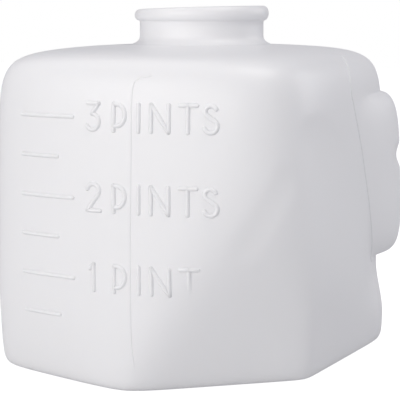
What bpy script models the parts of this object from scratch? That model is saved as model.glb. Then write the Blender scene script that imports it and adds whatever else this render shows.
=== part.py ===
"""Urine bottle: one hollow blow-moulded body and the raised marks of its scale.

Metres, +Z up.  The origin is on the base plane, on the axis of the neck.  The face with the scale looks along -Y
and the hand grip is at the rear of the +X side.
"""
import math

import bmesh
import bpy
import numpy as np
from mathutils import Matrix, Vector

MM = 0.001

# Body: how far each wall stands from the axis of the neck at half height.
FRONT = 75.9 * MM
RIGHT = 67.9 * MM
LEFT = 73.3 * MM
BACK = 67.9 * MM
SHOULDER = 136.2 * MM

# Body: the walls and the shoulder bow outwards with these radii, and three walls lean by a small draft.
FRONT_BOW = 194 * MM
RIGHT_BOW = 1880 * MM
SIDE_BOW = 525 * MM
SHOULDER_BOW = 1040 * MM
FRONT_DRAFT = 0.011
RIGHT_DRAFT = 0.024
LEFT_DRAFT = 0.018

# Body: how widely the edges are rounded.
RIGHT_EDGE = 11.0 * MM
LEFT_EDGE = 6.8 * MM
FACET_EDGE = 3.4 * MM
PROW_EDGE = 2.2 * MM
BASE_EDGE = 2.2 * MM
SHOULDER_EDGE = 6.8 * MM

# Facets: both start from one point on the front of the base.  Each runs back along the base and up a corner.
PROW_X = -1.7 * MM
RIGHT_FACET_BACK = 54.5 * MM
RIGHT_FACET_TOP = 121.1 * MM
LEFT_FACET_BACK = 21.9 * MM
LEFT_FACET_TOP = 64.5 * MM

# Heel facet: under a line that falls backwards across the right wall, the wall leans in towards the base.
HEEL_START_Y = -32.8 * MM
HEEL_START_Z = 45.8 * MM
HEEL_FALL = 0.459
HEEL_LEAN = 0.18
HEEL_EDGE = 1.2 * MM

# Finger grip: a wedge on the rear right corner.  Its foot slants up and forwards across the right wall, its reach
# is a superellipse over its height, and a notch parts the lobes for two fingers.
GRIP_FOOT_Y = 37.4 * MM
GRIP_FOOT_Z = 39.0 * MM
GRIP_FOOT_SLANT = 0.45
GRIP_RISE = 6.2 * MM
GRIP_CREST_Y = 55.0 * MM
GRIP_BACK = 71.8 * MM
GRIP_CORNER = 8.0 * MM
GRIP_TAIL_X = 42.0 * MM
GRIP_TAIL_TURN = math.radians(20.0)
GRIP_TAIL_EDGE = 2.0 * MM
GRIP_MIDDLE = 77.8 * MM
GRIP_HALF_HEIGHT = 36.8 * MM
GRIP_REACH = 10.2 * MM
GRIP_POWER = 4.0
GRIP_CREASE = 0.8 * MM
NOTCH_Z = 85.5 * MM
NOTCH_HALF = 6.5 * MM
NOTCH_DEPTH = 1.1 * MM
NOTCH_FRONT = 48.0 * MM
NOTCH_LENGTH = 10.0 * MM

# Undercut: under the grip the corner leans in.
UNDERCUT = 2.4 * MM
UNDERCUT_BOTTOM = 14.0 * MM
UNDERCUT_HEIGHT = 24.0 * MM
UNDERCUT_FRONT = 14.0 * MM
UNDERCUT_LENGTH = 26.0 * MM
UNDERCUT_LEFT = 8.0 * MM
UNDERCUT_WIDTH = 44.0 * MM

# Thumb hollow in the right wall: it starts at an upright front edge and an arched top, and fades down and back.
THUMB_DEPTH = 1.7 * MM
THUMB_EDGE_Y = -52.5 * MM
THUMB_CROWN_Y = -38.0 * MM
THUMB_TOP = 110.5 * MM
THUMB_ARCH_RADIUS = 32.0 * MM
THUMB_RIM = 0.8 * MM
THUMB_RUN = 11.0 * MM
THUMB_LENGTH = 76.0 * MM
THUMB_HEIGHT = 62.0 * MM

# Neck: a plain tube with a rolled bead round the mouth, trimmed slightly out of level.
NECK_RADIUS = 26.4 * MM
NECK_FILLET = 3.4 * MM
BEAD_REACH = 2.2 * MM
BEAD_BOTTOM = 145.8 * MM
RIM = 151.3 * MM
RIM_SLOPE = 0.030

WALL = 1.7 * MM

# Scale: six marks, half a pint apart, with a label beside each whole pint.
MARK_COUNT = 6
FIRST_MARK = 29.5 * MM
MARK_PITCH = 15.9 * MM
MARK_LEFT = -49.3 * MM
WHOLE_MARK = 27.5 * MM
HALF_MARK = 19.5 * MM
MARK_WIDTH = 2.4 * MM
LABEL_LIFT = -5.4 * MM
LETTER_HEIGHT = 12.0 * MM
LETTER_CAP = 0.69
RELIEF = 0.8 * MM
GAP = 0.3 * MM
NUMBER_X = -13.2 * MM
LETTER_X = {"P": -1.6 * MM, "I": 6.5 * MM, "N": 15.2 * MM, "T": 26.2 * MM, "S": 34.8 * MM}
LABELS = {1: "PINT", 2: "PINTS", 3: "PINTS"}
MARK_NAMES = ("0_5", "1_0", "1_5", "2_0", "2_5", "3_0")

# How finely the body is divided: columns round the axis, closer together near the grip, and rows up the skin.
COLUMNS = 78
ROWS = 27
COLUMN_TURN = 12 * MM
ROW_TURN = 8 * MM
OUTLINE_PITCH = math.radians(-2.0)
OUTLINE_STEPS = 1441
PROFILE_STEPS = 600
GRIP_DIRECTION = math.radians(35.0)
GRIP_SPREAD = math.radians(28.0)
GRIP_DENSITY = 1.6
BASE_PITCH = math.radians(-55.0)
FLAT = 0.3 * MM
HALVINGS = 40
NORMAL_STEP = 0.1 * MM
SHARP = math.radians(40.0)

# Turns in degrees of the points along the neck's fillet, round the bead, at the ends of a mark and over its back.
FILLET_TURNS = (22.5, 45.0, 67.5, 90.0)
BEAD_TURNS = (-80.0, -53.5, -27.0, -0.5, 26.0, 52.5, 79.0)
BEAD_INSET = 0.6 * MM
START_TURNS = (15, 40, 65, 90)
END_TURNS = (0, 25, 50, 75)
BACK_TURNS = (35, 65, 90, 115, 145)
MARK_STEPS = 6

# Linear colours of the bottle and of the raised marks.
SHELL_COLOUR = (0.78, 0.78, 0.80)
MARK_COLOUR = (0.84, 0.84, 0.86)
ROUGHNESS = 0.42
SUBSURFACE = 0.3


def clear_scene():
    for thing in list(bpy.data.objects):
        bpy.data.objects.remove(thing, do_unlink=True)


def polythene(name, colour):
    """A milky, semi-matt polythene of the given linear colour."""
    material = bpy.data.materials.new(name)
    material.use_nodes = True
    shader = material.node_tree.nodes["Principled BSDF"]
    shader.inputs["Base Color"].default_value = (*colour, 1.0)
    shader.inputs["Roughness"].default_value = ROUGHNESS
    shader.inputs["Metallic"].default_value = 0.0
    shader.inputs["Subsurface Weight"].default_value = SUBSURFACE
    return material


def soft_max(blend, *values):
    """The largest of the values, eased over about `blend` where two of them meet."""
    top = np.maximum.reduce(values)
    return top + blend * np.log(sum(np.exp((value - top) / blend) for value in values))


def bump(offset):
    """A smooth hump: 1 at offset 0, level there, and 0 from offset 1 outwards."""
    inside = np.clip(1.0 - np.square(offset), 0.0, 1.0)
    return inside * inside


def ease(share):
    """A smooth step from 0 at 0 to 1 at 1."""
    share = np.clip(share, 0.0, 1.0)
    return share * share * (3.0 - 2.0 * share)


def facet_distance(corner_x, back, top, x, y, z):
    """Signed distance to the plane through the prow, a point `back` along the base and `top` up the corner."""
    prow = np.array([PROW_X, -FRONT - FRONT_DRAFT * SHOULDER / 2, 0.0])
    along_base = np.array([corner_x, -FRONT + back, 0.0]) - prow
    up_corner = np.array([corner_x, -FRONT, top]) - prow
    normal = np.cross(along_base, up_corner)
    normal = -normal * np.sign(normal[1]) / np.linalg.norm(normal)
    return (x - prow[0]) * normal[0] + (y - prow[1]) * normal[1] + (z - prow[2]) * normal[2]


def right_distance(x, y, z):
    """Signed distance to the right wall: a plane that leans by its draft and bows as a parabola."""
    return x - (RIGHT - y**2 / (2 * RIGHT_BOW) + RIGHT_DRAFT * (SHOULDER / 2 - z))


def wall_distance(x, y, z):
    """Signed distance to the four bowed, drafted walls."""
    below_middle = SHOULDER / 2 - z
    front = -y - (FRONT - x**2 / (2 * FRONT_BOW) + FRONT_DRAFT * below_middle)
    left = -x - (LEFT - y**2 / (2 * SIDE_BOW) + LEFT_DRAFT * below_middle)
    back = y - (BACK - x**2 / (2 * SIDE_BOW))
    return soft_max(LEFT_EDGE, soft_max(RIGHT_EDGE, front, right_distance(x, y, z)), left, back)


def facets_distance(x, y, z):
    """Signed distance to the nearer of the two facets."""
    right = facet_distance(RIGHT, RIGHT_FACET_BACK, RIGHT_FACET_TOP, x, y, z)
    left = facet_distance(-LEFT, LEFT_FACET_BACK, LEFT_FACET_TOP, x, y, z)
    return soft_max(PROW_EDGE, right, left)


def heel_distance(x, y, z):
    """Signed distance to the heel facet, which leaves the right wall on its falling line and leans in below."""
    line = HEEL_START_Z - HEEL_FALL * (y - HEEL_START_Y)
    steepness = math.sqrt(1.0 + HEEL_LEAN**2 * (1.0 + HEEL_FALL**2))
    return (x - RIGHT + HEEL_LEAN * (line - z)) / steepness


def grip_distance(x, y, z):
    """Signed distance to the finger grip.  In plan a flank leaves the right wall at the slanting foot, a rear face
    and a tail that runs back into the rear wall are eased into it, and all shrink at each height to the reach."""
    foot = GRIP_FOOT_Y - GRIP_FOOT_SLANT * np.clip(z - GRIP_FOOT_Z, 0.0, 2 * GRIP_HALF_HEIGHT)
    flank = right_distance(x, y, z) - GRIP_RISE * (y - foot) / (GRIP_CREST_Y - foot)
    rear = y - GRIP_BACK
    tail = rear * math.cos(GRIP_TAIL_TURN) + (GRIP_TAIL_X - x) * math.sin(GRIP_TAIL_TURN)
    plan = soft_max(GRIP_TAIL_EDGE, soft_max(GRIP_CORNER, flank, rear), tail)
    offset = np.abs(z - GRIP_MIDDLE) / GRIP_HALF_HEIGHT
    reach = GRIP_REACH * (1.0 - np.minimum(offset, 1.0) ** GRIP_POWER) ** (1 / GRIP_POWER)
    reach = reach - NOTCH_DEPTH * bump((z - NOTCH_Z) / NOTCH_HALF) * ease((y - NOTCH_FRONT) / NOTCH_LENGTH)
    return np.maximum.reduce([plan + GRIP_REACH - reach, -x, -y, (offset - 1.0) * GRIP_HALF_HEIGHT])


def undercut(x, y, z):
    """How far the corner under the grip leans in: it grows with height, with distance back and to the right."""
    growth = ease((z - UNDERCUT_BOTTOM) / UNDERCUT_HEIGHT) * ease((GRIP_MIDDLE - z) / UNDERCUT_HEIGHT)
    return UNDERCUT * growth * ease((y - UNDERCUT_FRONT) / UNDERCUT_LENGTH) * ease((x - UNDERCUT_LEFT) / UNDERCUT_WIDTH)


def thumb_hollow(x, y, z):
    """Depth of the thumb hollow: it grows from its upright edge and its arch, and fades backwards and downwards."""
    arch = THUMB_TOP - (y - THUMB_CROWN_Y) ** 2 / (2 * THUMB_ARCH_RADIUS)
    inside = -soft_max(3 * THUMB_RIM, THUMB_EDGE_Y - y, z - arch)
    inside = soft_max(THUMB_RIM, inside, np.zeros_like(inside))
    left_over = (1 - ease((y - THUMB_EDGE_Y) / THUMB_LENGTH)) * (1 - ease((THUMB_TOP - z) / THUMB_HEIGHT))
    return np.where(x > 0, THUMB_DEPTH * (1 - np.exp(-inside / THUMB_RUN)) * left_over, 0.0)


def body_distance(x, y, z):
    """Negative inside the body and zero on its skin: walls, facets, domed shoulder and flat base eased together,
    the hollow and the undercut taken off, and the grip added."""
    skin = soft_max(FACET_EDGE, wall_distance(x, y, z), facets_distance(x, y, z))
    skin = soft_max(HEEL_EDGE, skin, heel_distance(x, y, z))
    shoulder = z - (SHOULDER - (x**2 + y**2) / (2 * SHOULDER_BOW))
    body = soft_max(BASE_EDGE, soft_max(SHOULDER_EDGE, skin, shoulder), -z)
    body = body + thumb_hollow(x, y, z) + undercut(x, y, z)
    return -soft_max(GRIP_CREASE, -body, -grip_distance(x, y, z))


def skin_points(angles, pitches):
    """Where rays from the middle of the body meet its skin, for every pitch and every angle round the axis."""
    angle, pitch = np.meshgrid(angles, pitches)
    ray = np.stack([np.cos(pitch) * np.cos(angle), np.cos(pitch) * np.sin(angle), np.sin(pitch)], axis=-1)
    near = np.zeros(angle.shape)
    far = np.full(angle.shape, 2 * SHOULDER)
    for _ in range(HALVINGS):
        middle = (near + far) / 2
        x, y, z = np.moveaxis(ray * middle[..., None], -1, 0)
        inside = body_distance(x, y, z + SHOULDER / 2) < 0
        near = np.where(inside, middle, near)
        far = np.where(inside, far, middle)
    points = ray * ((near + far) / 2)[..., None]
    points[..., 2] += SHOULDER / 2
    return points


def even_shares(points, count, turn_weight, density=1.0):
    """Indices that cut a line of points into equal shares of its length, times density, plus weighted turning."""
    step = np.diff(points, axis=0)
    length = np.linalg.norm(step, axis=-1)
    heading = step / length[..., None]
    turning = np.arccos(np.clip((heading[1:] * heading[:-1]).sum(axis=-1), -1.0, 1.0))
    cost = length * density
    cost[1:] += turn_weight * turning
    total = np.concatenate([[0.0], np.cumsum(cost)])
    return np.interp(np.linspace(0.0, total[-1], count), total, np.arange(len(points)))


def column_angles():
    """Angles round the axis, closer together where the outline of the body turns and near the grip."""
    angles = np.linspace(-math.pi, math.pi, OUTLINE_STEPS)
    outline = skin_points(angles, np.array([OUTLINE_PITCH]))[0]
    density = np.where(np.abs(angles[1:] - GRIP_DIRECTION) < GRIP_SPREAD, GRIP_DENSITY, 1.0)
    shares = even_shares(outline, COLUMNS + 1, COLUMN_TURN, density)
    return np.interp(shares[:-1], np.arange(len(angles)), angles)


def skin_rows(angles, neck_foot):
    """The skin as ROWS rows, each column spread over its own profile from the base to the foot of the neck."""
    pitches = np.linspace(BASE_PITCH, math.atan2(SHOULDER / 2, neck_foot), PROFILE_STEPS)
    dense = skin_points(angles, pitches)
    rows = np.empty((ROWS, len(angles), 3))
    for index in range(len(angles)):
        profile = dense[:, index]
        shares = even_shares(profile, ROWS, ROW_TURN)
        for axis in range(3):
            rows[:, index, axis] = np.interp(shares, np.arange(len(profile)), profile[:, axis])
    rows[..., 2][rows[..., 2] < FLAT] = 0.0
    return rows


def neck_profile():
    """Radius and height up the neck: a fillet from the shoulder, the tube and the bead round the mouth."""
    profile = []
    fillet_top = SHOULDER + NECK_FILLET
    for degrees in FILLET_TURNS:
        turn = math.radians(degrees)
        radius = NECK_RADIUS + NECK_FILLET * (1 - math.sin(turn))
        profile.append((radius, fillet_top - NECK_FILLET * math.cos(turn)))
    profile.append((NECK_RADIUS, BEAD_BOTTOM - BEAD_INSET))
    bead_half = (RIM - BEAD_BOTTOM) / 2
    for degrees in BEAD_TURNS:
        turn = math.radians(degrees)
        profile.append((NECK_RADIUS + BEAD_REACH * math.cos(turn), BEAD_BOTTOM + bead_half * (1 + math.sin(turn))))
    return profile


def add_rows(mesh, rows):
    """Vertices for each row, with neighbouring rows joined by quads."""
    loops = []
    for row in rows:
        loops.append([mesh.verts.new(point) for point in row])
    for lower, upper in zip(loops, loops[1:]):
        for index, corner in enumerate(lower):
            following = (index + 1) % len(lower)
            mesh.faces.new((corner, lower[following], upper[following], upper[index]))
    return loops


def add_object(name, mesh, material):
    """A linked object named `name` from the bmesh, which is freed."""
    bmesh.ops.recalc_face_normals(mesh, faces=mesh.faces)
    data = bpy.data.meshes.new(name)
    mesh.to_mesh(data)
    mesh.free()
    data.materials.append(material)
    data.shade_smooth()
    data.set_sharp_from_angle(angle=SHARP)
    thing = bpy.data.objects.new(name, data)
    bpy.context.scene.collection.objects.link(thing)
    return thing


def make_shell(material):
    """The bottle itself: skin, neck and bead in one piece, hollow, with a flat base and an open mouth."""
    angles = column_angles()
    rows = list(skin_rows(angles, NECK_RADIUS + NECK_FILLET))
    for radius, height in neck_profile():
        share = max(0.0, (height - BEAD_BOTTOM) / (RIM - BEAD_BOTTOM))
        x = radius * np.cos(angles)
        rows.append(np.stack([x, radius * np.sin(angles), height + share * RIM_SLOPE * x], axis=-1))
    mesh = bmesh.new()
    loops = add_rows(mesh, rows)
    mesh.faces.new(loops[0])
    shell = add_object("bottle_shell", mesh, material)
    wall = shell.modifiers.new("wall", "SOLIDIFY")
    wall.thickness = WALL
    wall.offset = -1.0
    wall.use_even_offset = True
    return shell


def face_frame(x, z, lift):
    """Origin and axes of a plane that touches the front face at x and z, moved out by `lift`."""
    near = -2 * FRONT
    far = 0.0
    for _ in range(HALVINGS):
        middle = (near + far) / 2
        if body_distance(x, middle, z) < 0:
            far = middle
        else:
            near = middle
    y = (near + far) / 2
    step = NORMAL_STEP
    normal = Vector((
        body_distance(x + step, y, z) - body_distance(x - step, y, z),
        body_distance(x, y + step, z) - body_distance(x, y - step, z),
        body_distance(x, y, z + step) - body_distance(x, y, z - step),
    )).normalized()
    across = Vector((0.0, 0.0, 1.0)).cross(normal).normalized()
    upward = normal.cross(across)
    return Vector((x, y, z)) + normal * lift, across, upward, normal


def make_mark(index, material):
    """A half-round bar with rounded ends that follows the bow of the front face; every second one is longer."""
    whole = index % 2 == 1
    length = WHOLE_MARK if whole else HALF_MARK
    height = FIRST_MARK + MARK_PITCH * index
    half = MARK_WIDTH / 2
    offsets = [-half * math.cos(math.radians(turn)) for turn in START_TURNS]
    offsets += list(np.linspace(0.0, length - 2 * half, MARK_STEPS)[1:-1])
    offsets += [length - 2 * half + half * math.sin(math.radians(turn)) for turn in END_TURNS]
    mesh = bmesh.new()
    rows = []
    for offset in offsets:
        past_end = max(-offset, offset - (length - 2 * half), 0.0)
        swell = math.sqrt(1.0 - (past_end / half) ** 2)
        origin, _, upward, normal = face_frame(MARK_LEFT + half + offset, height, GAP)
        row = [origin - upward * half * swell, origin + upward * half * swell]
        for turn in BACK_TURNS:
            angle = math.radians(turn)
            row.append(origin + upward * half * swell * math.cos(angle) + normal * RELIEF * swell * math.sin(angle))
        rows.append(row)
    loops = add_rows(mesh, rows)
    mesh.faces.new(loops[0])
    mesh.faces.new(loops[-1])
    name = "mark_{}_pint".format(MARK_NAMES[index])
    return add_object(name, mesh, material)


def make_letter(name, text, x, height, material):
    """One raised character, laid on the front face as a plate of even thickness."""
    origin, across, upward, normal = face_frame(x, height + LETTER_HEIGHT / 2, GAP + RELIEF / 2)
    curve = bpy.data.curves.new(name, "FONT")
    curve.body = text
    curve.size = LETTER_HEIGHT / LETTER_CAP
    curve.extrude = RELIEF / 2
    curve.align_x = "CENTER"
    curve.align_y = "CENTER"
    curve.resolution_u = 3
    curve.render_resolution_u = 0
    curve.materials.append(material)
    letter = bpy.data.objects.new(name, curve)
    letter.matrix_world = Matrix.Translation(origin) @ Matrix((across, upward, normal)).transposed().to_4x4()
    bpy.context.scene.collection.objects.link(letter)
    return letter


def make_label(pints, word, material):
    """The number and the word beside one whole mark, one object for each character."""
    height = FIRST_MARK + MARK_PITCH * (2 * pints - 1) + LABEL_LIFT
    prefix = "label_{}".format(pints)
    make_letter(prefix + "_number", str(pints), NUMBER_X, height, material)
    for letter in word:
        make_letter(prefix + "_letter_" + letter, letter, LETTER_X[letter], height, material)


def main():
    clear_scene()
    shell_material = polythene("natural_polythene", SHELL_COLOUR)
    mark_material = polythene("raised_polythene", MARK_COLOUR)
    make_shell(shell_material)
    for index in range(MARK_COUNT):
        make_mark(index, mark_material)
    for pints, word in LABELS.items():
        make_label(pints, word, mark_material)


main()
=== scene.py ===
import math

import bpy
import numpy as np
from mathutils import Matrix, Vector


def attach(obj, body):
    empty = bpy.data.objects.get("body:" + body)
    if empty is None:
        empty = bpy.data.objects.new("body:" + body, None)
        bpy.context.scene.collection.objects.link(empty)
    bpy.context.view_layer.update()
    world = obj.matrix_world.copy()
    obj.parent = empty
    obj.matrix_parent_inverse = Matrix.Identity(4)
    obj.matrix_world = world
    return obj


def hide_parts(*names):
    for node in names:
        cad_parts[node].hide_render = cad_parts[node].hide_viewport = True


MM = 0.001

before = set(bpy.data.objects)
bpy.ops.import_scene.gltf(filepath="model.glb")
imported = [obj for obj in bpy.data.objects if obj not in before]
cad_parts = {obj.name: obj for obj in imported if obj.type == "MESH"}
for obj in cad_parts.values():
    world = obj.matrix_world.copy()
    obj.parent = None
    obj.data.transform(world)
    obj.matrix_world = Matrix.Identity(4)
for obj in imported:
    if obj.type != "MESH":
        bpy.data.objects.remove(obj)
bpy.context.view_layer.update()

# ---------------------------------------------------------------------------------------------- sizes

# How far each wall stands from the axis of the neck at half height, and the height of the shoulder.
FRONT = 75.9 * MM
RIGHT = 67.9 * MM
LEFT = 73.3 * MM
BACK = 67.9 * MM
SHOULDER = 136.2 * MM

# Radii to which the walls and the shoulder bow, and the lean of three walls.
FRONT_BOW = 194 * MM
RIGHT_BOW = 1880 * MM
SIDE_BOW = 525 * MM
SHOULDER_BOW = 1040 * MM
FRONT_DRAFT = 0.011
RIGHT_DRAFT = 0.024
LEFT_DRAFT = 0.018

# How widely the edges are rounded.
RIGHT_EDGE = 11.0 * MM
LEFT_EDGE = 6.8 * MM
FACET_EDGE = 3.4 * MM
PROW_EDGE = 2.2 * MM
BASE_EDGE = 2.2 * MM
SHOULDER_EDGE = 6.8 * MM

# The two facets: both start from one point on the front of the base, run back along it and up a corner.
PROW_X = -1.7 * MM
RIGHT_FACET_BACK = 54.5 * MM
RIGHT_FACET_TOP = 121.1 * MM
LEFT_FACET_BACK = 21.9 * MM
LEFT_FACET_TOP = 64.5 * MM

# Finger grip: a wedge on the rear right corner.  Its foot slants up and forwards across the right wall, its
# reach is a superellipse over its height, and a notch parts the lobes for two fingers.
GRIP_FOOT_Y = 37.4 * MM
GRIP_FOOT_Z = 39.0 * MM
GRIP_FOOT_SLANT = 0.45
GRIP_RISE = 6.2 * MM
GRIP_CREST_Y = 55.0 * MM
GRIP_BACK = 71.8 * MM
GRIP_CORNER = 8.0 * MM
GRIP_TAIL_X = 42.0 * MM
GRIP_TAIL_TURN = math.radians(20.0)
GRIP_TAIL_EDGE = 2.0 * MM
GRIP_MIDDLE = 77.8 * MM
GRIP_HALF_HEIGHT = 36.8 * MM
GRIP_REACH = 10.2 * MM
GRIP_POWER = 4.0
GRIP_CREASE = 0.8 * MM
NOTCH_Z = 85.5 * MM
NOTCH_HALF = 6.5 * MM
NOTCH_DEPTH = 1.1 * MM
NOTCH_FRONT = 48.0 * MM
NOTCH_LENGTH = 10.0 * MM

# Undercut: under the grip the corner leans in.
UNDERCUT = 2.4 * MM
UNDERCUT_BOTTOM = 14.0 * MM
UNDERCUT_HEIGHT = 24.0 * MM
UNDERCUT_FRONT = 14.0 * MM
UNDERCUT_LENGTH = 26.0 * MM
UNDERCUT_LEFT = 8.0 * MM
UNDERCUT_WIDTH = 44.0 * MM

# Heel facet: under a line that falls backwards across the right wall, the wall leans in towards the base.
HEEL_START_Y = -32.8 * MM
HEEL_START_Z = 45.8 * MM
HEEL_FALL = 0.459
HEEL_LEAN = 0.18
HEEL_EDGE = 1.2 * MM

# Thumb hollow in the right wall: it starts at an upright front edge and an arched top, and it fades downwards
# and backwards.
THUMB_DEPTH = 1.7 * MM
THUMB_EDGE_Y = -52.5 * MM
THUMB_CROWN_Y = -38.0 * MM
THUMB_TOP = 110.5 * MM
THUMB_ARCH_RADIUS = 32.0 * MM
THUMB_RIM = 0.8 * MM
THUMB_RUN = 11.0 * MM
THUMB_LENGTH = 76.0 * MM
THUMB_HEIGHT = 62.0 * MM

# Shallow fold in front of the thumb hollow, above the edge of the facet.
FOLD_START = (59.5 * MM, -57.0 * MM, 86.0 * MM)
FOLD_END = (46.0 * MM, -64.0 * MM, 60.0 * MM)
FOLD_HALF = 8.0 * MM
FOLD_DEPTH = 0.38 * MM

# Neck, rolled bead and wall.  The inside of the bead is rounded off by LIP.
NECK_RADIUS = 26.4 * MM
NECK_FILLET = 3.4 * MM
BEAD_REACH = 2.2 * MM
BEAD_BOTTOM = 145.8 * MM
RIM = 151.3 * MM
RIM_SLOPE = 0.030
WALL = 1.7 * MM
LIP = 0.3 * MM

# Scale: six marks half a pint apart and three labels, all half-round ridges.
MARKS = ("0_5", "1_0", "1_5", "2_0", "2_5", "3_0")
FIRST_MARK = 29.6 * MM
MARK_PITCH = 15.9 * MM
MARK_LEFT = -48.0 * MM
WHOLE_MARK_RIGHT = -22.8 * MM
HALF_MARK_RIGHT = -30.2 * MM
FIRST_LABEL = 41.6 * MM
LABEL_PITCH = 31.4 * MM
LETTER_HEIGHT = 10.2 * MM
LABELS = {1: "PINT", 2: "PINTS", 3: "PINTS"}
NUMBER_X = -13.2 * MM
LETTER_X = {"P": -4.1 * MM, "I": 6.4 * MM, "N": 15.1 * MM, "T": 26.1 * MM, "S": 34.8 * MM}
STROKE_HALF = 0.95 * MM
STROKE_RISE = 0.75 * MM

# Parting lines left by the mould: fine ridges down the front and along the foot of the grip.  Their points
# are in millimetres, across and up the face.
LINE_HALF = 0.32 * MM
LINE_RISE = 0.16 * MM
GRIP_LINE_HALF = 0.55 * MM
GRIP_LINE_RISE = 0.35 * MM
FRONT_LINE = (
    (4.2, 4.0), (2.9, 20.0), (2.8, 60.0), (3.3, 95.0),
    (3.4, 120.0), (4.0, 123.0), (6.0, 124.8), (10.5, 125.4),
)
GRIP_LINE = (
    (37.6, 40.0), (30.2, 56.0), (20.8, 76.0), (14.6, 90.0), (8.4, 103.0),
    (3.2, 115.0), (2.6, 120.0), (5.6, 127.6), (9.6, 131.0),
)

# The flat root of a ridge lies RIDGE_ROOT under the skin and its feet RIDGE_SINK, so that no gap shows.
RIDGE_ROOT = 0.3 * MM
RIDGE_SINK = 0.04 * MM
STATION_PITCH = 0.35 * MM
RIDGE_POINTS = 11
END_TURNS = (80.0, 62.0, 44.0, 24.0)
POLE_SHARE = 0.02
ARC_POINTS = 13

# The scale dies away over FADE_WIDTH, starting FADE_START in front of the facet's edge.
FADE_START = 0.4 * MM
FADE_WIDTH = 0.6 * MM

# Grid of the body: columns round the axis, closer over HAND_SPREAD either side of HAND_DIRECTION where the
# hand holds the bottle, and rows up the skin.  The turns weigh the bends of a line against its length.
COLUMNS = 400
ROWS = 184
COLUMN_TURN = 26 * MM
ROW_TURN = 16 * MM
BASE_PITCH = math.radians(-88.0)
OUTLINE_PITCH = math.radians(-2.0)
OUTLINE_STEPS = 4321
PROFILE_STEPS = 1400
HAND_DIRECTION = math.radians(10.0)
HAND_SPREAD = math.radians(62.0)
HAND_DENSITY = 1.6
INSIDE_STRIDE = 8
HALVINGS = 36
NORMAL_STEP = 0.05 * MM

FRONT_FACE = np.array([[1.0, 0.0, 0.0], [0.0, -1.0, 0.0]])
RIGHT_FACE = np.array([[0.0, 1.0, 0.0], [1.0, 0.0, 0.0]])
UPWARD = np.array([0.0, 0.0, 1.0])


# ---------------------------------------------------------------------------------------------- body

def soft_max(blend, *values):
    """The largest of the values, eased over `blend`: blend times the log of the sum of exp(value / blend)."""
    top = np.maximum.reduce(values)
    return top + blend * np.log(sum(np.exp((value - top) / blend) for value in values))


def bump(offset):
    """A hump that is 1 at offset 0 and 0 from offset 1 outwards: (1 - offset squared) squared."""
    inside = np.clip(1.0 - np.square(offset), 0.0, 1.0)
    return inside * inside


def ease(share):
    """A smooth step from 0 at 0 to 1 at 1: three times the square less twice the cube."""
    share = np.clip(share, 0.0, 1.0)
    return share * share * (3.0 - 2.0 * share)


def facet_distance(corner_x, back, top, x, y, z):
    """Signed distance to the plane through the prow, a point `back` along the base and one `top` up the
    corner."""
    prow = np.array([PROW_X, -FRONT - FRONT_DRAFT * SHOULDER / 2, 0.0])
    along_base = np.array([corner_x, -FRONT + back, 0.0]) - prow
    up_corner = np.array([corner_x, -FRONT, top]) - prow
    normal = np.cross(along_base, up_corner)
    normal = -normal * np.sign(normal[1]) / np.linalg.norm(normal)
    return (x - prow[0]) * normal[0] + (y - prow[1]) * normal[1] + (z - prow[2]) * normal[2]


def right_distance(x, y, z):
    """Signed distance to the right wall: a plane that leans by its draft and bows as a parabola."""
    return x - (RIGHT - y**2 / (2 * RIGHT_BOW) + RIGHT_DRAFT * (SHOULDER / 2 - z))


def wall_distance(x, y, z):
    """Signed distance to the four bowed, drafted walls."""
    below_middle = SHOULDER / 2 - z
    front = -y - (FRONT - x**2 / (2 * FRONT_BOW) + FRONT_DRAFT * below_middle)
    left = -x - (LEFT - y**2 / (2 * SIDE_BOW) + LEFT_DRAFT * below_middle)
    back = y - (BACK - x**2 / (2 * SIDE_BOW))
    return soft_max(LEFT_EDGE, soft_max(RIGHT_EDGE, front, right_distance(x, y, z)), left, back)


def facets_distance(x, y, z):
    """Signed distance to the nearer of the two facets."""
    right = facet_distance(RIGHT, RIGHT_FACET_BACK, RIGHT_FACET_TOP, x, y, z)
    left = facet_distance(-LEFT, LEFT_FACET_BACK, LEFT_FACET_TOP, x, y, z)
    return soft_max(PROW_EDGE, right, left)


def grip_distance(x, y, z):
    """Signed distance to the finger grip.  In plan a flank leaves the right wall at the slanting foot, and a
    rear face and a tail that runs back into the rear wall are eased into it.  All shrink at each height to the
    reach, GRIP_REACH times the fourth root of 1 less the fourth power of the share of half height."""
    foot = GRIP_FOOT_Y - GRIP_FOOT_SLANT * np.clip(z - GRIP_FOOT_Z, 0.0, 2 * GRIP_HALF_HEIGHT)
    flank = right_distance(x, y, z) - GRIP_RISE * (y - foot) / (GRIP_CREST_Y - foot)
    rear = y - GRIP_BACK
    tail = rear * math.cos(GRIP_TAIL_TURN) + (GRIP_TAIL_X - x) * math.sin(GRIP_TAIL_TURN)
    plan = soft_max(GRIP_TAIL_EDGE, soft_max(GRIP_CORNER, flank, rear), tail)
    offset = np.abs(z - GRIP_MIDDLE) / GRIP_HALF_HEIGHT
    reach = GRIP_REACH * (1.0 - np.minimum(offset, 1.0) ** GRIP_POWER) ** (1 / GRIP_POWER)
    notch = NOTCH_DEPTH * bump((z - NOTCH_Z) / NOTCH_HALF) * ease((y - NOTCH_FRONT) / NOTCH_LENGTH)
    reach = reach - notch
    return np.maximum.reduce([plan + GRIP_REACH - reach, -x, -y, (offset - 1.0) * GRIP_HALF_HEIGHT])


def undercut(x, y, z):
    """How far the corner under the grip leans in: a product of smooth steps, upwards from the base, downwards
    from the middle of the grip, backwards and to the right."""
    upright = ease((z - UNDERCUT_BOTTOM) / UNDERCUT_HEIGHT) * ease((GRIP_MIDDLE - z) / UNDERCUT_HEIGHT)
    backwards = ease((y - UNDERCUT_FRONT) / UNDERCUT_LENGTH)
    return UNDERCUT * upright * backwards * ease((x - UNDERCUT_LEFT) / UNDERCUT_WIDTH)


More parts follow.
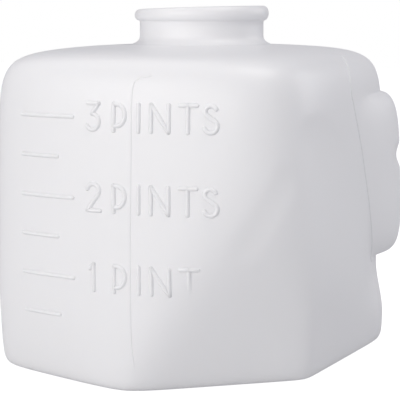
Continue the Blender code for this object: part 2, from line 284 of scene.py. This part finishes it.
def heel_distance(x, y, z):
    """Signed distance to the heel facet, which leaves the right wall on its falling line and leans in below
    it."""
    line = HEEL_START_Z - HEEL_FALL * (y - HEEL_START_Y)
    steepness = math.sqrt(1.0 + HEEL_LEAN**2 * (1.0 + HEEL_FALL**2))
    return (x - RIGHT + HEEL_LEAN * (line - z)) / steepness


def thumb_hollow(x, y, z):
    """Depth of the thumb hollow: it grows from its upright edge and its arch, a parabola, as 1 less an
    exponential of the way inside them, and eases to nothing backwards and downwards."""
    arch = THUMB_TOP - (y - THUMB_CROWN_Y) ** 2 / (2 * THUMB_ARCH_RADIUS)
    inside = -soft_max(3 * THUMB_RIM, THUMB_EDGE_Y - y, z - arch)
    inside = soft_max(THUMB_RIM, inside, np.zeros_like(z))
    left_over = (1 - ease((y - THUMB_EDGE_Y) / THUMB_LENGTH)) * (1 - ease((THUMB_TOP - z) / THUMB_HEIGHT))
    return np.where(x > 0, THUMB_DEPTH * (1 - np.exp(-inside / THUMB_RUN)) * left_over, 0.0)


def fold(x, y, z):
    """Depth of the shallow fold: a hump of the distance to a straight line between its two ends."""
    start, end = np.array(FOLD_START), np.array(FOLD_END)
    along = end - start
    place = np.stack([x, y, z], axis=-1) - start
    share = np.clip(place @ along / (along @ along), 0.0, 1.0)
    return FOLD_DEPTH * bump(np.linalg.norm(place - share[..., None] * along, axis=-1) / FOLD_HALF)


def body_distance(x, y, z):
    """Negative inside the body and zero on its skin: walls, facets, domed shoulder and flat base eased
    together, the hollow, the fold and the undercut taken off, and the grip added."""
    skin = soft_max(FACET_EDGE, wall_distance(x, y, z), facets_distance(x, y, z))
    skin = soft_max(HEEL_EDGE, skin, heel_distance(x, y, z))
    shoulder = z - (SHOULDER - (x**2 + y**2) / (2 * SHOULDER_BOW))
    body = soft_max(BASE_EDGE, soft_max(SHOULDER_EDGE, skin, shoulder), -z)
    body = body + thumb_hollow(x, y, z) + fold(x, y, z) + undercut(x, y, z)
    return -soft_max(GRIP_CREASE, -body, -grip_distance(x, y, z))


def leave_body(start, direction, far):
    """Where each ray from `start` leaves the body, found by halving the way between 0 and `far`."""
    shape = np.broadcast_shapes(np.shape(start), np.shape(direction))[:-1]
    near = np.zeros(shape)
    far = np.full(shape, far)
    for _ in range(HALVINGS):
        middle = (near + far) / 2
        inside = body_distance(*np.moveaxis(start + direction * middle[..., None], -1, 0)) < 0
        near = np.where(inside, middle, near)
        far = np.where(inside, far, middle)
    return start + direction * ((near + far) / 2)[..., None]


def skin_points(angles, pitches):
    """Where rays from the middle of the body, one for each pitch and angle, meet its skin."""
    angle, pitch = np.meshgrid(angles, pitches)
    ray = np.stack([np.cos(pitch) * np.cos(angle), np.cos(pitch) * np.sin(angle), np.sin(pitch)], axis=-1)
    return leave_body(SHOULDER / 2 * UPWARD, ray, 2 * SHOULDER)


def face_points(place, face):
    """Points of the skin at places given across and up a face."""
    across, outward = face
    return leave_body(place[..., :1] * across + place[..., 1:] * UPWARD, outward, 2 * FRONT)


def skin_normals(points):
    """Outward normals of the skin: the slope of the body's distance along each axis, made one long."""
    x, y, z = np.moveaxis(points, -1, 0)
    step = NORMAL_STEP
    slope = np.stack([
        body_distance(x + step, y, z) - body_distance(x - step, y, z),
        body_distance(x, y + step, z) - body_distance(x, y - step, z),
        body_distance(x, y, z + step) - body_distance(x, y, z - step),
    ], axis=-1)
    return slope / np.linalg.norm(slope, axis=-1, keepdims=True)


def even_shares(points, count, turn_weight, density=1.0):
    """Indices that cut a line of points into equal shares of its length, times density, plus its turning,
    times a weight."""
    step = np.diff(points, axis=0)
    length = np.linalg.norm(step, axis=-1)
    heading = step / length[..., None]
    turning = np.arccos(np.clip((heading[1:] * heading[:-1]).sum(axis=-1), -1.0, 1.0))
    cost = length * density
    cost[1:] += turn_weight * turning
    total = np.concatenate([[0.0], np.cumsum(cost)])
    return np.interp(np.linspace(0.0, total[-1], count), total, np.arange(len(points)))


def column_angles():
    """Angles round the axis, closer where the outline turns and across the right wall and the grip."""
    angles = np.linspace(-math.pi, math.pi, OUTLINE_STEPS)
    outline = skin_points(angles, np.array([OUTLINE_PITCH]))[0]
    density = np.where(np.abs(angles[1:] - HAND_DIRECTION) < HAND_SPREAD, HAND_DENSITY, 1.0)
    shares = even_shares(outline, COLUMNS + 1, COLUMN_TURN, density)
    return np.interp(shares[:-1], np.arange(len(angles)), angles)


def skin_rows(angles):
    """The skin as rows of points, each column spread over its own profile from the base to the foot of the
    neck."""
    top_pitch = math.atan2(SHOULDER / 2, NECK_RADIUS + NECK_FILLET)
    dense = skin_points(angles, np.linspace(BASE_PITCH, top_pitch, PROFILE_STEPS))
    index = np.arange(len(dense))
    columns = []
    for column in np.moveaxis(dense, 1, 0):
        shares = even_shares(column, ROWS, ROW_TURN)
        columns.append(np.stack([np.interp(shares, index, column[:, axis]) for axis in range(3)], axis=-1))
    return np.stack(columns, axis=1)


def neck_rows(angles):
    """The neck turned round the axis: a fillet up from the shoulder, the tube, the bead and the way back down
    inside.  The bead's heights grow to one side, because the mouth is trimmed out of level."""
    turn = np.radians(np.linspace(12, 90, 7))
    radius = [NECK_RADIUS + NECK_FILLET * (1 - np.sin(turn))]
    height = [SHOULDER + NECK_FILLET * (1 - np.cos(turn))]
    radius.append(np.full(3, NECK_RADIUS))
    height.append(np.linspace(SHOULDER + NECK_FILLET + 1.5 * MM, BEAD_BOTTOM - 0.4 * MM, 3))
    half = (RIM - BEAD_BOTTOM) / 2
    turn = np.radians(np.linspace(-84, 96, 17))
    radius.append(NECK_RADIUS + BEAD_REACH * np.cos(turn))
    height.append(BEAD_BOTTOM + half * (1 + np.sin(turn)))
    turn = np.radians(np.linspace(10, 90, 5))
    radius.append(NECK_RADIUS - LIP - (WALL - LIP) * np.sin(turn))
    height.append(RIM - (WALL - LIP) * (1 - np.cos(turn)))
    radius = np.concatenate(radius)[:, None]
    height = np.concatenate(height)[:, None]
    share = np.clip((height - BEAD_BOTTOM) / (RIM - BEAD_BOTTOM), 0.0, 1.0)
    x = radius * np.cos(angles)
    y = radius * np.sin(angles)
    return np.stack([x, y, height + share * RIM_SLOPE * x], axis=-1)


def inner_rows(angles, skin):
    """The inside: the neck's bore straight down, then every eighth row of the skin moved in by the wall."""
    bore = NECK_RADIUS - WALL
    heights = np.array([RIM - 4 * MM, SHOULDER + 3 * MM, SHOULDER - 0.5 * MM])[:, None]
    ones = np.ones_like(heights)
    x = bore * ones * np.cos(angles)
    y = bore * ones * np.sin(angles)
    neck = np.stack([x, y, heights * np.ones_like(angles)], axis=-1)
    picked = skin[::-INSIDE_STRIDE]
    inside = picked - skin_normals(picked) * WALL
    inside[..., 2] = np.minimum(inside[..., 2], SHOULDER - WALL)
    return np.concatenate([neck, inside])


# ---------------------------------------------------------------------------------------------- ridges

def arc(centre_x, centre_z, half_width, half_height, start, end):
    """Points along part of an ellipse, from one angle in degrees to another."""
    turn = np.radians(np.linspace(start, end, ARC_POINTS))
    return [(centre_x + half_width * math.cos(t), centre_z + half_height * math.sin(t)) for t in turn]


# Each character is a few strokes in millimetres, from its own middle and the foot of its centre line.
TOP = LETTER_HEIGHT / MM
CHARACTERS = {
    "1": [[(0, 0), (0, TOP)], [(0, TOP), (-1.7, TOP - 1.8)]],
    "2": [arc(0, 7.7, 2.7, 2.6, 165, -38) + [(-2.6, 0)], [(-2.6, 0), (3.0, 0)]],
    "3": [[(-2.3, TOP), (2.4, TOP)], [(2.4, TOP), (-0.4, 6.2)], arc(-0.3, 3.1, 2.9, 3.1, 90, -150)],
    "P": [[(0, 0), (0, TOP)], [(0, TOP)] + arc(1.2, 5.9, 3.6, 4.2, 90, -90) + [(0, 1.5)]],
    "I": [[(0, 0), (0, TOP)]],
    "N": [[(-3.5, 0), (-3.5, TOP)], [(-3.5, TOP), (3.5, 0)], [(3.5, 0), (3.5, TOP)]],
    "T": [[(-3.0, TOP), (3.3, TOP)], [(0, 0), (0, TOP)]],
    "S": [arc(-0.1, 8.1, 2.1, 2.1, 25, 215) + arc(0.0, 2.5, 2.4, 2.5, 45, -160)],
}


def stations(path, half):
    """A path cut into even stations: where each is, which way leads across it and how full the ridge is
    there.  The fullness falls as a quarter circle over the last half width at either end.  Gives the two ends
    as well."""
    path = np.array(path)
    run = np.concatenate([[0.0], np.cumsum(np.linalg.norm(np.diff(path, axis=0), axis=-1))])
    even = np.linspace(0.0, run[-1], max(int(run[-1] / STATION_PITCH), 3) + 1)
    place = np.stack([np.interp(even, run, path[:, axis]) for axis in range(2)], axis=-1)
    heading = np.gradient(place, axis=0)
    heading /= np.linalg.norm(heading, axis=-1, keepdims=True)
    turn = np.radians(END_TURNS)
    before = place[0] - heading[0] * half * np.sin(turn)[:, None]
    after = place[-1] + heading[-1] * half * np.sin(turn[::-1])[:, None]
    fullness = np.concatenate([np.cos(turn), np.ones(len(place)), np.cos(turn[::-1])])
    place = np.concatenate([before, place, after])
    count = len(END_TURNS)
    heading = np.concatenate([np.repeat(heading[:1], count, 0), heading, np.repeat(heading[-1:], count, 0)])
    across = np.stack([heading[:, 1], -heading[:, 0]], axis=-1)
    ends = place[0] - heading[0] * half * POLE_SHARE, place[-1] + heading[-1] * half * POLE_SHARE
    return place, across, fullness, ends


def facet_fade(points):
    """1 on the front wall, easing to 0 where the facet takes over, so that the scale dies away there."""
    x, y, z = np.moveaxis(points, -1, 0)
    past_edge = facets_distance(x, y, z) - wall_distance(x, y, z)
    return 1.0 / (1.0 + np.exp(np.clip((past_edge + FADE_START) / FADE_WIDTH, -40, 40)))


def ridge(path, half, rise, face):
    """One half-round ridge that follows the skin: over the top the height is a parabola across the ridge, and
    a flat root lies under the skin.  Returns its rings and its two poles."""
    place, across, fullness, ends = stations(path, half)
    turn = np.radians(np.linspace(180, 0, RIDGE_POINTS))
    offset = np.concatenate([np.cos(turn), [0.5, -0.5]])
    swell = np.concatenate([np.sin(turn) ** 2, [0.0, 0.0]])
    depth = np.concatenate([np.full(RIDGE_POINTS, RIDGE_SINK), [RIDGE_ROOT, RIDGE_ROOT]])
    spot = place[:, None] + across[:, None] * (half * fullness[:, None] * offset)[..., None]
    points = face_points(spot, face)
    height = (rise + RIDGE_SINK) * swell * fullness[:, None] * facet_fade(points) - depth
    poles = face_points(np.array(ends), face)
    rings = points + skin_normals(points) * height[..., None]
    return rings, poles - skin_normals(poles) * (RIDGE_SINK + RIDGE_ROOT) / 2


# ---------------------------------------------------------------------------------------------- meshes

def grid_part(rows, bottom_pole, top_pole):
    """Points, quads and triangles of a grid whose rows are closed rings, with a fan to a pole at each end."""
    row_count, column_count = rows.shape[:2]
    index = np.arange(row_count * column_count).reshape(row_count, column_count)
    following = np.roll(index, -1, axis=1)
    quads = np.stack([index[:-1], following[:-1], following[1:], index[1:]], axis=-1).reshape(-1, 4)
    points = np.vstack([rows.reshape(-1, 3), bottom_pole, top_pole])
    bottom = np.full(column_count, len(points) - 2)
    top = np.full(column_count, len(points) - 1)
    bottom_fan = np.stack([following[0], index[0], bottom], axis=-1)
    top_fan = np.stack([index[-1], following[-1], top], axis=-1)
    return points, quads, np.concatenate([bottom_fan, top_fan])


def mesh_object(name, parts, material):
    """One smooth object from the points and faces of its parts."""
    points, faces = [], []
    for part_points, quads, triangles in parts:
        start = sum(len(p) for p in points)
        points.append(part_points)
        faces += (quads + start).tolist() + (triangles + start).tolist()
    mesh = bpy.data.meshes.new(name)
    mesh.from_pydata(np.concatenate(points).tolist(), [], faces)
    mesh.validate()
    mesh.shade_smooth()
    mesh.materials.append(material)
    thing = bpy.data.objects.new(name, mesh)
    bpy.context.scene.collection.objects.link(thing)
    return thing


def add_piece(name, parts, material, *replaced):
    """A finished piece that rides on the bottle and stands in for the CAD nodes named."""
    piece = mesh_object(name, parts, material)
    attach(piece, "root")
    if replaced:
        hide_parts(*replaced)
    return piece


def make_bottle(material, painted_glow_inside_material):
    """The bottle in one closed grid.  Its inside, from the bore of the neck down to the floor, has a material
    of its own."""
    angles = column_angles()
    skin = skin_rows(angles)
    skin[..., 2] = np.maximum(skin[..., 2], 0.0)
    outside = np.concatenate([skin, neck_rows(angles)])
    rows = np.concatenate([outside, inner_rows(angles, skin)])
    part = grid_part(rows, (0.0, 0.0, 0.0), (0.0, 0.0, WALL))
    bottle = add_piece("bottle", [part], material, "bottle_shell")
    # The inside's own material carries a faint painted glow, an emission standing in for daylight through the
    # wall.
    bottle.data.materials.append(painted_glow_inside_material)
    faces = np.arange(len(bottle.data.polygons))
    inner_wall = (faces >= len(outside) * COLUMNS) & (faces < (len(rows) - 1) * COLUMNS)
    inner_floor = faces >= len(faces) - COLUMNS
    bottle.data.polygons.foreach_set("material_index", (inner_wall | inner_floor).astype(np.int32))


def placed(strokes, x, z):
    """Strokes in millimetres moved to their place on the front."""
    return [np.array(stroke) * MM + (x, z) for stroke in strokes]


def make_scale(material):
    """The marks and the characters, one piece for each, named after the CAD node it stands in for."""
    pieces = {}
    for index, volume in enumerate(MARKS):
        right = WHOLE_MARK_RIGHT if index % 2 else HALF_MARK_RIGHT
        height = FIRST_MARK + MARK_PITCH * index
        pieces["mark_{}_pint".format(volume)] = [np.array([(MARK_LEFT, height), (right, height)])]
    for pints, word in LABELS.items():
        foot = FIRST_LABEL + LABEL_PITCH * (pints - 1)
        prefix = "label_{}_".format(pints)
        pieces[prefix + "number"] = placed(CHARACTERS[str(pints)], NUMBER_X, foot)
        for letter in word:
            pieces[prefix + "letter_" + letter] = placed(CHARACTERS[letter], LETTER_X[letter], foot)
    for node, strokes in pieces.items():
        parts = []
        for stroke in strokes:
            rings, poles = ridge(stroke, STROKE_HALF, STROKE_RISE, FRONT_FACE)
            parts.append(grid_part(rings, poles[0], poles[1]))
        add_piece("moulded_" + node, parts, material, node)


def make_parting_lines(material):
    """The two fine ridges where the halves of the mould met."""
    rings, poles = ridge(np.array(FRONT_LINE) * MM, LINE_HALF, LINE_RISE, FRONT_FACE)
    add_piece("front_line", [grid_part(rings, poles[0], poles[1])], material)
    rings, poles = ridge(np.array(GRIP_LINE) * MM, GRIP_LINE_HALF, GRIP_LINE_RISE, RIGHT_FACE)
    add_piece("grip_line", [grid_part(rings, poles[0], poles[1])], material)


# ---------------------------------------------------------------------------------------------- materials

def linear(hex_colour):
    """The linear colour of an sRGB hex value."""
    parts = [int(hex_colour[i:i + 2], 16) / 255 for i in (1, 3, 5)]
    return tuple(p / 12.92 if p <= 0.04045 else ((p + 0.055) / 1.055) ** 2.4 for p in parts) + (1.0,)


def add_node(tree, kind, settings=None, values=None, links=None):
    """Adds a node, sets its properties and input values, and links its inputs to other nodes' outputs."""
    node = tree.nodes.new(kind)
    for key, value in (settings or {}).items():
        setattr(node, key, value)
    for key, value in (values or {}).items():
        node.inputs[key].default_value = value
    for key, output in (links or {}).items():
        tree.links.new(output, node.inputs[key])
    return node


def natural_polythene(name, painted_glow):
    """Blow-moulded natural polythene: milky, nearly opaque, semi-matt, with the fine pits of a blasted mould.
    The second argument is the strength of a painted glow: an emission that stands in for the faint daylight
    coming through the thin wall."""
    material = bpy.data.materials.new(name)
    material.use_nodes = True
    tree = material.node_tree
    shader = tree.nodes["Principled BSDF"]
    shader.inputs["Base Color"].default_value = linear("#EAEAEC")
    shader.inputs["Roughness"].default_value = 0.36
    shader.inputs["IOR"].default_value = 1.51
    shader.inputs["Subsurface Weight"].default_value = 0.2
    shader.inputs["Subsurface Radius"].default_value = (1.0, 0.95, 0.9)
    shader.inputs["Subsurface Scale"].default_value = 0.8 * MM
    # Painted glow: this emission paints on light that stands in for daylight through the thin wall; it is zero
    # outside and faint inside.
    shader.inputs["Emission Color"].default_value = linear("#F4F4F6")
    shader.inputs["Emission Strength"].default_value = painted_glow
    # About 1.1 mm from pit to pit, a little coarser than the real grain.
    place = add_node(tree, "ShaderNodeTexCoord")
    grain = add_node(tree, "ShaderNodeTexNoise", values={"Scale": 900.0, "Detail": 2.0, "Roughness": 0.6},
                     links={"Vector": place.outputs["Object"]})
    pits = add_node(tree, "ShaderNodeBump", values={"Strength": 0.25, "Distance": 0.12 * MM},
                    links={"Height": grain.outputs["Fac"]})
    tree.links.new(pits.outputs["Normal"], shader.inputs["Normal"])
    return material


def studio_paper():
    """Pale seamless paper, matt and lit from behind: white to the eye, with only a faint shadow on it.  The
    light that it throws back on the bottle is weaker than it looks."""
    material = bpy.data.materials.new("seamless_paper")
    material.use_nodes = True
    tree = material.node_tree
    shader = tree.nodes["Principled BSDF"]
    shader.inputs["Base Color"].default_value = linear("#A0A0A3")
    shader.inputs["Roughness"].default_value = 0.95
    white = linear("#FFFFFF")
    seen_glow = add_node(tree, "ShaderNodeEmission", values={"Color": white, "Strength": 0.95})
    thrown_glow = add_node(tree, "ShaderNodeEmission", values={"Color": white, "Strength": 0.24})
    path = add_node(tree, "ShaderNodeLightPath")
    glow = add_node(tree, "ShaderNodeMixShader", links={
        0: path.outputs["Is Camera Ray"],
        1: thrown_glow.outputs["Emission"],
        2: seen_glow.outputs["Emission"],
    })
    both = add_node(tree, "ShaderNodeAddShader", links={0: shader.outputs["BSDF"], 1: glow.outputs["Shader"]})
    tree.links.new(both.outputs["Shader"], tree.nodes["Material Output"].inputs["Surface"])
    return material


# ---------------------------------------------------------------------------------------------- stage

def make_stage():
    """A wide square of paper just under the base."""
    half = 3.0
    mesh = bpy.data.meshes.new("floor")
    corners = [(-half, -half, 0), (half, -half, 0), (half, half, 0), (-half, half, 0)]
    mesh.from_pydata(corners, [], [(0, 1, 2, 3)])
    floor = bpy.data.objects.new("floor", mesh)
    floor.location.z = -0.2 * MM
    bpy.context.scene.collection.objects.link(floor)
    mesh.materials.append(studio_paper())


def area_light(name, azimuth, elevation, power, size=0.8, distance=1.3, colour="#FFFFFF"):
    """A round softbox that looks at the bottle; azimuth 0 is in front of the scale and grows to the right."""
    across, up = math.radians(azimuth), math.radians(elevation)
    toward = Vector((math.sin(across) * math.cos(up), -math.cos(across) * math.cos(up), math.sin(up)))
    data = bpy.data.lights.new(name, "AREA")
    data.shape = "DISK"
    data.size = size
    data.energy = power
    data.color = linear(colour)[:3]
    light = bpy.data.objects.new(name, data)
    light.location = toward * distance + Vector((0, 0, SHOULDER / 2))
    light.rotation_euler = toward.to_track_quat("Z", "Y").to_euler()
    bpy.context.scene.collection.objects.link(light)


def make_world():
    """A soft grey room that the camera sees as white."""
    world = bpy.data.worlds.new("studio")
    world.use_nodes = True
    bpy.context.scene.world = world
    tree = world.node_tree
    room = tree.nodes["Background"]
    room.inputs["Color"].default_value = linear("#F3F3FC")
    room.inputs["Strength"].default_value = 0.45
    backdrop = add_node(tree, "ShaderNodeBackground", values={"Color": linear("#FFFFFF"), "Strength": 1.0})
    path = add_node(tree, "ShaderNodeLightPath")
    mix = add_node(tree, "ShaderNodeMixShader", links={
        0: path.outputs["Is Camera Ray"],
        1: room.outputs["Background"],
        2: backdrop.outputs["Background"],
    })
    tree.links.new(mix.outputs["Shader"], tree.nodes["World Output"].inputs["Surface"])


def make_lights():
    """Soft sources in front and to the left, weaker ones over the sides, and a fill behind on the right."""
    area_light("front_softbox", -9, 10, 5.1, size=0.9, colour="#FFFDF8")
    area_light("small_front_light", 18, 9, 1.2, size=0.3, colour="#FFFDF8")
    area_light("left_softbox", -34, 12, 3.1, colour="#FFFDF8")
    area_light("right_overhead", 80, 64, 4.9, colour="#FFFDF8")
    area_light("left_overhead", -100, 66, 1.3, colour="#FFFDF8")
    area_light("rear_right", 135, 17, 2.4)
    bpy.context.scene.view_settings.view_transform = "Standard"


def make_camera():
    """A long lens, turned a quarter of the way to the side with the grip and slightly above the middle."""
    azimuth, elevation, distance = math.radians(23.58), math.radians(7.72), 603.2 * MM
    target = Vector((-0.67 * MM, -0.29 * MM, 68.4 * MM))
    back = Vector((
        math.sin(azimuth) * math.cos(elevation),
        -math.cos(azimuth) * math.cos(elevation),
        math.sin(elevation),
    ))
    data = bpy.data.cameras.new("camera")
    data.sensor_width = 36.0
    data.lens = 124.8
    camera = bpy.data.objects.new("camera", data)
    camera.location = target + back * distance
    camera.rotation_euler = back.to_track_quat("Z", "Y").to_euler()
    bpy.context.scene.collection.objects.link(camera)
    bpy.context.scene.camera = camera


polythene = natural_polythene("blow_moulded_natural_polythene", 0.0)
# The inside's material paints on a faint glow (emission 0.07) that stands in for daylight coming through the
# wall.
make_bottle(polythene, natural_polythene("blow_moulded_natural_polythene_inside_painted_glow", 0.07))
make_scale(polythene)
make_parting_lines(polythene)
make_stage()
make_world()
make_lights()
make_camera()
